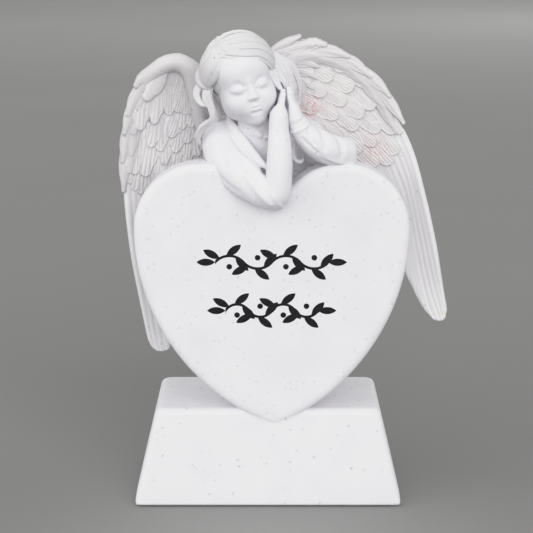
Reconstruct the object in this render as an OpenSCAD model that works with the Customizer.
// Resin angel figurine: an angel leans over a heart tablet that stands in a sloping plinth.
// Millimetres. +Z up, the front looks along -Y, and the origin is under the middle of the plinth.

/* [Plinth] */
// Width of the plinth at its foot
plinth_foot_w = 110; // [100:1:120]
// Width of the plinth at its top
plinth_top_w = 92; // [84:1:98]
// Depth of the plinth at its foot
plinth_foot_d = 54; // [50:1:60]
// Height of the plinth
plinth_h = 39.5; // [36:0.5:44]
// How far the front slopes back from foot to top
front_setback = 6.5; // [4:0.5:8]

/* [Heart] */
// Width of the heart tablet
heart_w = 110; // [104:1:114]
// Thickness of the heart tablet
heart_t = 15; // [13:0.5:17]
// Height of the heart's point above the surface the plinth stands on
heart_point_z = 34.5; // [32:0.5:36]
// Sideways place of the heart on the plinth
heart_x = 1.5; // [-2:0.5:2]
// Depth of the engraving
engraving_depth = 0.8; // [0.6:0.1:1.2]

/* [Wings] */
// How far the wings are hollowed towards the back
wing_cup = 3; // [2:0.5:4]
// Thickness of the feathered wing at its leading edge
wing_t = 3.6; // [3:0.2:4.2]

/* [Finish] */
// Colour of the cast resin
resin = "whitesmoke"; // ["whitesmoke", "white", "ivory"]
// Colour of the paint in the engraving
paint = "black"; // ["black", "dimgray", "darkgoldenrod"]

/* [Hidden] */
// Facets of the rounded figure parts
figure_fn = 18;
eps = 0.01;

// Plinth
felt_t = 1.2;
felt_recess = 0.7;
felt_inset = 4;
body_z = felt_t - felt_recess;
back_setback = 3;
foot_front_y = -plinth_foot_d / 2;
foot_back_y = plinth_foot_d / 2;
top_front_y = foot_front_y + front_setback;
top_back_y = foot_back_y - back_setback;
foot_band = 3;

// Heart. Its lower sides are two large arcs, its lobes two circles, and its cleft a third
heart_front_y = top_front_y - 1.5;
heart_back_y = heart_front_y + heart_t;
side_r = heart_w * 0.79;
lobe_r = heart_w * 0.245;
lobe_x = heart_w / 2 - lobe_r;
cleft_r = heart_w * 0.127;
side_x = side_r - heart_w / 2;
widest_z = heart_point_z + sqrt(side_r * side_r - side_x * side_x);
cleft_rise = sqrt(pow(lobe_r + cleft_r, 2) - lobe_x * lobe_x);
heart_top_z = widest_z + lobe_r;
tangent = lobe_r / (lobe_r + cleft_r);

// The tenon under the heart, in the plinth's mortise
tenon_w = 22;
tenon_t = 8;
tenon_depth = 16;
tenon_y = heart_front_y + heart_t * 0.55;
tenon_gap = 0.15;
tenon_top_z = heart_point_z + 12;

// The two engraved sprays
spray_x = 0;
upper_spray_z = widest_z - 12.5;
lower_spray_z = widest_z - 32.5;
upper_spray_w = 60;
lower_spray_w = 52;
half_waves = 4;
wave_rise = 2.6;
stem_w = 1.1;
leaf_l = 7.4;
leaf_w = 3;
berry_r = 1.15;
paint_t = 0.35;

// The figure is placed from the middle of the heart, at the height of its lobes
lean = [heart_x, 0, heart_top_z];

// Each figure part is a chain of balls, [x, y, z, radius]
head_balls = [[-12, -12, 36, 12.3], [-11.6, -15, 31.5, 11.6], [-10, -18.5, 26.5, 8.6], [-8.2, -20.5, 20.8, 4.8]];
neck_balls = [[-8.5, -12, 24, 5.4], [-6, -11, 15, 5.4], [-2.5, -8, 5, 8.4], [-1, -4, -4, 8]];
bodice_balls = [[-13, -3, 5, 9.5], [0, -2, 3, 10.5], [12, 0, 5, 9.5]];
waist_balls = [[-9, 2, -4, 9], [9, 2, -4, 9], [5, 3, -26, 8], [-5, 3, -26, 8]];
hair_crown_balls = [[-12.2, -11, 37, 13.9], [-12.6, -14, 38, 13.2]];
side_lock_balls = [[-16.5, -18, 46, 4.6], [-22, -18, 41, 5], [-25.2, -16.5, 34.5, 4.9], [-24.2, -17.5, 28.5, 4.2], [-20.8, -18.5, 26, 2.8]];
ringlet_balls = [[-25.4, -12, 26, 3.6], [-25.6, -12, 20.5, 3.2], [-22.4, -11, 15.5, 3.6], [-18.4, -9, 12.5, 3.8]];
hair_back_balls = [[-12, 0, 33, 10], [-9, 4, 22, 9], [-5, 7, 10, 7.5], [-3, 8.5, 0, 5]];
tress_balls = [[0.5, -13, 44, 4.6], [3.8, -12.5, 37.5, 4.6], [5.6, -10, 31, 4.4], [6.4, -6, 25, 4.2]];
right_sleeve_balls = [[-19.3, -4, 6, 9], [-16.5, -13, 0.5, 8.6], [-10.3, -20, -5.2, 7.6], [-4, -24.8, -9.8, 6.5]];
right_forearm_balls = [[-0.2, -26, -11.8, 5.6], [1.4, -26.5, -4, 5], [2.4, -26, 6, 4.7], [3, -24.6, 15, 4]];
right_hand_balls = [[3.1, -24.2, 16.5, 3.9], [4, -22.5, 21, 3.4], [5, -20.5, 26, 2.4], [5.4, -19.5, 29, 1.7]];
left_sleeve_balls = [[17, 1, 8, 8.3], [24.5, -7, 7, 7.4], [29.5, -16.5, 4, 5.9], [20.5, -19.5, 8.8, 5.7], [14.5, -21.5, 13.5, 5.1], [11.2, -22, 16.6, 4.6]];
left_hand_balls = [[10.6, -21.8, 18, 4.1], [9.6, -20.5, 22.5, 3.6], [8.2, -19, 27, 2.6], [7.8, -18, 30, 1.8]];

// Skirt sections behind the heart, [middle y, half width, half depth, z]
skirt_sections = [[2, 15, 9, -14], [2.5, 13.5, 9.5, -40], [3, 14.5, 10.5, -70], [4, 17, 12.5, plinth_h - heart_top_z]];

// The wings' leading and trailing edges, root to tip
left_lead = [[8.5, 10, 6], [2.5, 8, 25], [9, 5, 41], [27, 3, 39.5], [43, 3, 28], [54, 4, 6], [61.5, 5, -17], [67.5, 6.5, -43], [72.5, 8, -68]];
left_trail = [[8.5, 11, -4], [11, 12, -15], [19, 12, -26], [30, 12, -35], [42, 11, -41], [53, 10, -45.5], [59, 9.5, -54], [65, 9, -64], [70.5, 8.5, -71.5]];
right_lead = [[-12, 10, 5], [-24, 8, 19], [-31, 5, 33], [-41, 3, 37], [-52, 2, 28], [-58.5, 2, 9], [-59.5, 4, -15], [-56, 6, -48], [-49.5, 8, -82]];
right_trail = [[-11, 11, -5], [-15, 12, -17], [-22, 12, -29], [-30, 12, -40], [-37, 11, -49], [-41.5, 10, -57], [-43.5, 9.5, -66], [-45, 9, -75], [-47.5, 8.5, -84]];
arm_end = 0.66;
arm_root_r = 5;
arm_end_r = 2.8;
arm_steps = 11;
covert_end = 0.66;
covert_share = 0.5;
blade_rows = 22;
blade_columns = 6;
blade_first = 0.14;
covert_overhang = 0.02;
tip_t_share = 0.45;
covert_extra_t = 1;
peg_r = 2;
peg_l = 9;

// ---- Curves ----

// Catmull-Rom spline through the points of a list, with t from 0 to 1 over the whole list
function knot(list, i) = list[max(0, min(len(list) - 1, i))];
function blend4(a, b, c, d, u) =
    0.5 * (2 * b + (c - a) * u + (2 * a - 5 * b + 4 * c - d) * u * u + (3 * b - a - 3 * c + d) * u * u * u);
function along(list, t) =
    let (place = min(t, 1 - 1e-6) * (len(list) - 1), i = floor(place))
    blend4(knot(list, i - 1), knot(list, i), knot(list, i + 1), knot(list, i + 2), place - i);

// A point of the wing's middle surface: t runs from root to tip, s from leading to trailing edge
function wing_point(lead, trail, t, s) =
    along(lead, t) * (1 - s) + along(trail, t) * s + [0, wing_cup * sin(180 * s) * (1 - t * t), 0];
function blade_t(t, s) = wing_t * (1 - (1 - tip_t_share) * max(t, s));
function arm_r(t) = arm_root_r + (arm_end_r - arm_root_r) * t / arm_end;

// The coverts end at a line that runs back to the leading edge near covert_end
function covert_s(t) = covert_share * sqrt(max(0.05, 1 - pow(t / covert_end, 4)));

// ---- Building blocks ----

// A chain of balls joined by hulls
module chain(balls) {
    for (i = [0 : len(balls) - 2])
        hull()
            for (b = [balls[i], balls[i + 1]])
                translate([b[0], b[1], b[2]]) sphere(b[3], $fn = figure_fn);
}

// All the balls in one hull
module pebble(balls) {
    hull()
        for (b = balls)
            translate([b[0], b[1], b[2]]) sphere(b[3], $fn = figure_fn);
}

// A closed blade of the wing, from t0 to t1 and across to s = 1 or to the end of the coverts
module blade(lead, trail, t0, t1, coverts, extra_t) {
    n = blade_columns + 1;
    front = [
        for (i = [0 : blade_rows], side = [-1, 1], j = [0 : blade_columns])
            let (
                t = t0 + (t1 - t0) * i / blade_rows,
                first = coverts ? -covert_overhang : 0,
                s = first + ((coverts ? covert_s(t) : 1) - first) * j / blade_columns
            )
            wing_point(lead, trail, t, s) + [0, side * (blade_t(t, s) + extra_t) / 2, 0]
    ];
    row = 2 * n;
    faces = concat(
        [for (i = [0 : blade_rows - 1], j = [0 : n - 2]) let (k = i * row + j) [k, k + 1, k + row + 1, k + row]],
        [for (i = [0 : blade_rows - 1], j = [0 : n - 2]) let (k = i * row + n + j) [k, k + row, k + row + 1, k + 1]],
        [for (i = [0 : blade_rows - 1]) let (k = i * row) [k, k + row, k + row + n, k + n]],
        [for (i = [0 : blade_rows - 1]) let (k = i * row + n - 1) [k, k + n, k + row + n, k + row]],
        [for (j = [0 : n - 2]) [j, j + n, j + n + 1, j + 1]],
        [for (j = [0 : n - 2]) let (k = blade_rows * row + j) [k, k + 1, k + n + 1, k + n]]
    );
    outward = lead[len(lead) - 1][0] < 0;
    polyhedron(front, outward ? faces : [for (f = faces) [f[3], f[2], f[1], f[0]]], convexity = 6);
}

// The tapering arm of a wing along its leading edge
module wing_arm(lead) {
    chain([
        for (i = [0 : arm_steps])
            let (t = arm_end * i / arm_steps, p = along(lead, t))
            [p[0], p[1], p[2], arm_r(t)]
    ]);
}

// A peg from the wing's root into the bodice
module wing_peg(lead, gap = 0) {
    translate([lead[0][0], lead[0][1] - arm_root_r + 1 - peg_l, lead[0][2]])
        rotate([-90, 0, 0])
            cylinder(h = peg_l + arm_root_r, r = peg_r + gap, $fn = 24);
}

// ---- Plinth ----

module plinth_block() {
    intersection() {
        translate([0, foot_back_y, 0])
            rotate([90, 0, 0])
                linear_extrude(plinth_foot_d)
                    polygon([
                        [-plinth_foot_w / 2, body_z], [plinth_foot_w / 2, body_z],
                        [plinth_foot_w / 2, foot_band], [plinth_top_w / 2, plinth_h],
                        [-plinth_top_w / 2, plinth_h], [-plinth_foot_w / 2, foot_band],
                    ]);
        translate([-plinth_foot_w / 2, 0, 0])
            rotate([90, 0, 90])
                linear_extrude(plinth_foot_w)
                    polygon([
                        [foot_front_y, body_z], [foot_back_y, body_z],
                        [foot_back_y, foot_band], [top_back_y, plinth_h],
                        [top_front_y, plinth_h], [foot_front_y, foot_band],
                    ]);
    }
}

module tenon(gap = 0) {
    translate([heart_x - tenon_w / 2 - gap, tenon_y - tenon_t / 2 - gap, heart_point_z - tenon_depth - gap])
        cube([tenon_w + 2 * gap, tenon_t + 2 * gap, tenon_top_z - heart_point_z + tenon_depth + gap]);
}

module plinth() {
    color(resin)
        difference() {
            plinth_block();
            heart_block();
            tenon(tenon_gap);
            translate([-plinth_foot_w / 2 + felt_inset, foot_front_y + felt_inset, -1])
                cube([plinth_foot_w - 2 * felt_inset, plinth_foot_d - 2 * felt_inset, 1 + felt_t]);
        }
}

module felt_pad() {
    color("gray")
        translate([-plinth_foot_w / 2 + felt_inset, foot_front_y + felt_inset, 0])
            cube([plinth_foot_w - 2 * felt_inset, plinth_foot_d - 2 * felt_inset, felt_t]);
}

// ---- Heart tablet ----

module heart_outline() {
    for (side = [-1, 1])
        translate([side * lobe_x, widest_z]) circle(lobe_r, $fn = 90);
    intersection() {
        translate([-side_x, widest_z]) circle(side_r, $fn = 180);
        translate([side_x, widest_z]) circle(side_r, $fn = 180);
        translate([-heart_w / 2, widest_z - side_r]) square([heart_w, side_r]);
    }
    difference() {
        polygon([
            [-lobe_x, widest_z - eps], [lobe_x, widest_z - eps],
            [lobe_x * (1 - tangent), widest_z + cleft_rise * tangent],
            [-lobe_x * (1 - tangent), widest_z + cleft_rise * tangent],
        ]);
        translate([0, widest_z + cleft_rise]) circle(cleft_r, $fn = 90);
    }
}

module heart_block() {
    translate([heart_x, heart_back_y, 0])
        rotate([90, 0, 0])
            linear_extrude(heart_t) heart_outline();
}

// A pointed leaf that grows from the origin along +X
module leaf() {
    leaf_r = (leaf_l * leaf_l + leaf_w * leaf_w) / (4 * leaf_w);
    translate([leaf_l / 2, 0])
        intersection() {
            translate([0, leaf_r - leaf_w / 2]) circle(leaf_r, $fn = 60);
            translate([0, leaf_w / 2 - leaf_r]) circle(leaf_r, $fn = 60);
        }
}

// One half wave of the stem: an arc over the chord
module stem_arc(chord) {
    arc_r = (chord * chord / 4 + wave_rise * wave_rise) / (2 * wave_rise);
    translate([0, wave_rise - arc_r])
        intersection() {
            difference() {
                circle(arc_r + stem_w / 2, $fn = 120);
                circle(arc_r - stem_w / 2, $fn = 120);
            }
            translate([-chord / 2 - eps, 0]) square([chord + 2 * eps, 2 * arc_r]);
        }
}

// A leafy spray that runs along X, centred on the origin
module spray(width) {
    chord = (width - 2 * leaf_l) / half_waves;
    for (i = [0 : half_waves - 1]) {
        side = i % 2 == 0 ? 1 : -1;
        translate([(i + 0.5 - half_waves / 2) * chord, 0]) {
            mirror([0, side < 0 ? 1 : 0]) stem_arc(chord);
            translate([-chord * 0.1, side * wave_rise]) rotate(side * 38) leaf();
            translate([-chord * 0.34, side * wave_rise * 0.6]) rotate(side * 152) leaf();
            translate([chord * 0.22, side * wave_rise * 0.7]) rotate(-side * 46) leaf();
            translate([0, -side * berry_r * 1.6]) circle(berry_r, $fn = 40);
        }
    }
    for (side = [-1, 1])
        translate([side * half_waves * chord / 2, 0]) rotate(90 - side * 90) leaf();
}

module spray_solid(width, z, front_y, back_y) {
    translate([heart_x + spray_x, back_y, z])
        rotate([90, 0, 0])
            linear_extrude(back_y - front_y) spray(width);
}

module heart_tablet() {
    groove_y = heart_front_y + engraving_depth;
    color(resin) {
        difference() {
            heart_block();
            spray_solid(upper_spray_w, upper_spray_z, heart_front_y - 1, groove_y);
            spray_solid(lower_spray_w, lower_spray_z, heart_front_y - 1, groove_y);
        }
        tenon();
    }
}

module spray_paint(width, z) {
    groove_y = heart_front_y + engraving_depth;
    color(paint) spray_solid(width, z, groove_y - paint_t, groove_y);
}

// ---- Figure, placed from the heart's top ----

module bodice_mass() {
    chain(bodice_balls);
    pebble(concat(bodice_balls, waist_balls));
}

module gown_bodice() {
    color(resin)
        difference() {
            translate(lean) bodice_mass();
            heart_block();
            translate(lean) {
                chain(neck_balls);
                chain(right_sleeve_balls);
                chain(left_sleeve_balls);
                wing_peg(left_lead, 0.1);
                wing_peg(right_lead, 0.1);
            }
        }
}

module skirt_mass() {
    translate(lean)
        for (i = [0 : len(skirt_sections) - 2])
            hull()
                for (s = [skirt_sections[i], skirt_sections[i + 1]])
                    translate([0, s[0], s[3]])
                        scale([s[1], s[2], 1]) cylinder(h = eps, r = 1, $fn = 36);
}

module gown_skirt() {
    color(resin)
        difference() {
            skirt_mass();
            heart_block();
            translate(lean) bodice_mass();
            translate(lean) wing_arm(left_lead);
            translate(lean) wing_arm(right_lead);
        }
}

module neck_and_chest() {
    color(resin)
        difference() {
            translate(lean) chain(neck_balls);
            heart_block();
            translate(lean) {
                pebble(head_balls);
                chain(right_sleeve_balls);
                chain(right_forearm_balls);
            }
        }
}

module head() {
    color(resin) translate(lean) pebble(head_balls);
}

// The crown of hair leaves the face open below and in front
module crown_mass() {
    difference() {
        pebble(hair_crown_balls);
        translate([-9.5, -30, 30]) rotate([-24, 14, 0]) scale([1, 1, 1.15]) sphere(15.5, $fn = figure_fn * 2);
    }
}

module hair_crown() {
    color(resin) translate(lean)
        difference() {
            crown_mass();
            pebble(head_balls);
            chain(tress_balls);
            chain(side_lock_balls);
        }
}

// A lock of hair, cut clear of the head and of what it hangs on
module lock(balls) {
    color(resin) translate(lean)
        difference() {
            chain(balls);
            pebble(head_balls);
            children();
        }
}

// A sleeve or limb, cut clear of the heart and of its neighbours
module limb(balls) {
    color(resin)
        difference() {
            translate(lean) chain(balls);
            heart_block();
            translate(lean) children();
        }
}

// ---- Wings ----

module wing_arm_node(lead) {
    color(resin)
        difference() {
            translate(lean) union() {
                wing_arm(lead);
                wing_peg(lead);
            }
            difference() {
                translate(lean) bodice_mass();
                translate(lean) wing_peg(lead, 0.1);
            }
            translate(lean) {
                pebble(head_balls);
                chain(hair_back_balls);
                chain(tress_balls);
                chain(left_hand_balls);
                chain(left_sleeve_balls);
                chain(right_sleeve_balls);
            }
        }
}

// What the feathers are cut clear of
module wing_neighbours(lead) {
    wing_arm(lead);
    bodice_mass();
    chain(left_sleeve_balls);
    chain(right_sleeve_balls);
    chain(hair_back_balls);
    chain(tress_balls);
}

module wing_coverts(lead, trail) {
    color(resin)
        difference() {
            translate(lean) blade(lead, trail, blade_first, covert_end, true, covert_extra_t);
            translate(lean) wing_neighbours(lead);
            skirt_mass();
        }
}

module wing_flight_feathers(lead, trail) {
    color(resin)
        difference() {
            translate(lean) blade(lead, trail, blade_first, 1, false, 0);
            translate(lean) blade(lead, trail, blade_first - 0.04, covert_end, true, covert_extra_t);
            translate(lean) wing_neighbours(lead);
            skirt_mass();
        }
}

plinth();
felt_pad();
heart_tablet();
spray_paint(upper_spray_w, upper_spray_z);  // upper_spray_paint
spray_paint(lower_spray_w, lower_spray_z);  // lower_spray_paint
gown_bodice();
gown_skirt();
neck_and_chest();
head();
hair_crown();
lock(side_lock_balls);  // hair_side_lock
lock(ringlet_balls) { chain(side_lock_balls); chain(right_sleeve_balls); chain(neck_balls); }  // hair_ringlets
lock(hair_back_balls) { crown_mass(); chain(neck_balls); bodice_mass(); chain(ringlet_balls); }  // hair_back
lock(tress_balls) { chain(left_hand_balls); chain(right_hand_balls); }  // hair_left_tresses
limb(right_sleeve_balls);  // right_sleeve
limb(right_forearm_balls) { chain(right_sleeve_balls); }  // right_forearm
limb(right_hand_balls) { pebble(head_balls); chain(right_forearm_balls); }  // right_hand
limb(left_sleeve_balls) { chain(right_hand_balls); }  // left_sleeve
limb(left_hand_balls) { pebble(head_balls); chain(right_hand_balls); chain(left_sleeve_balls); }  // left_hand
wing_arm_node(right_lead);  // right_wing_arm
wing_coverts(right_lead, right_trail);  // right_wing_coverts
wing_flight_feathers(right_lead, right_trail);  // right_wing_flight_feathers
wing_arm_node(left_lead);  // left_wing_arm
wing_coverts(left_lead, left_trail);  // left_wing_coverts
wing_flight_feathers(left_lead, left_trail);  // left_wing_flight_feathers
